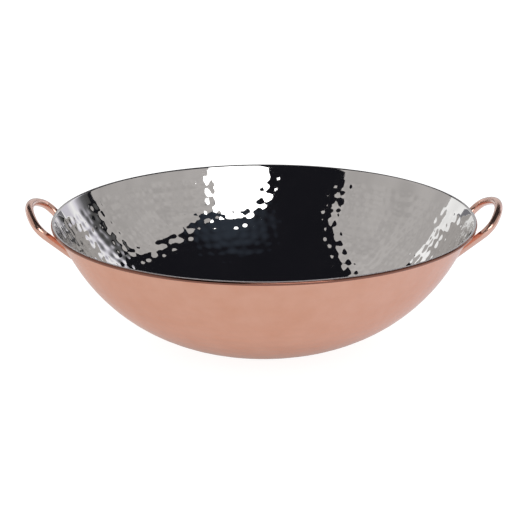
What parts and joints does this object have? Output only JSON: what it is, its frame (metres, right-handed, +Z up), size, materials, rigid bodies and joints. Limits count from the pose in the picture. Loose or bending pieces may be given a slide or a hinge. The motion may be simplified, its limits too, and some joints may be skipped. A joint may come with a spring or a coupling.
{
  "type": "copper jam pan",
  "caption": "Wide, shallow round cooking pan, hammered copper outside and polished steel inside, with a wired rim and fixed loop handles.",
  "frame": {"origin": "centre of the base, on the surface that the pan stands on", "axes": "+Z up out of the bowl, +X from the bowl's centre to the right handle"},
  "size_m": [0.4034, 0.3598, 0.1198],
  "materials": {
    "hammered_copper": "satin copper, lightly hammered",
    "polished_steel": "mirror-polished stainless steel, hammered",
    "wire_steel": "plain drawn wire",
    "polished_copper": "polished copper",
    "weld_metal": "dressed and coppered weld"
  },
  "bodies": {
    "root": {"copper_shell": "hammered_copper", "steel_liner": "polished_steel", "rim_wire": "wire_steel", "left_handle": "polished_copper", "right_handle": "polished_copper", "left_front_weld": "weld_metal", "left_back_weld": "weld_metal", "right_front_weld": "weld_metal", "right_back_weld": "weld_metal"}
  },
  "joints": []
}
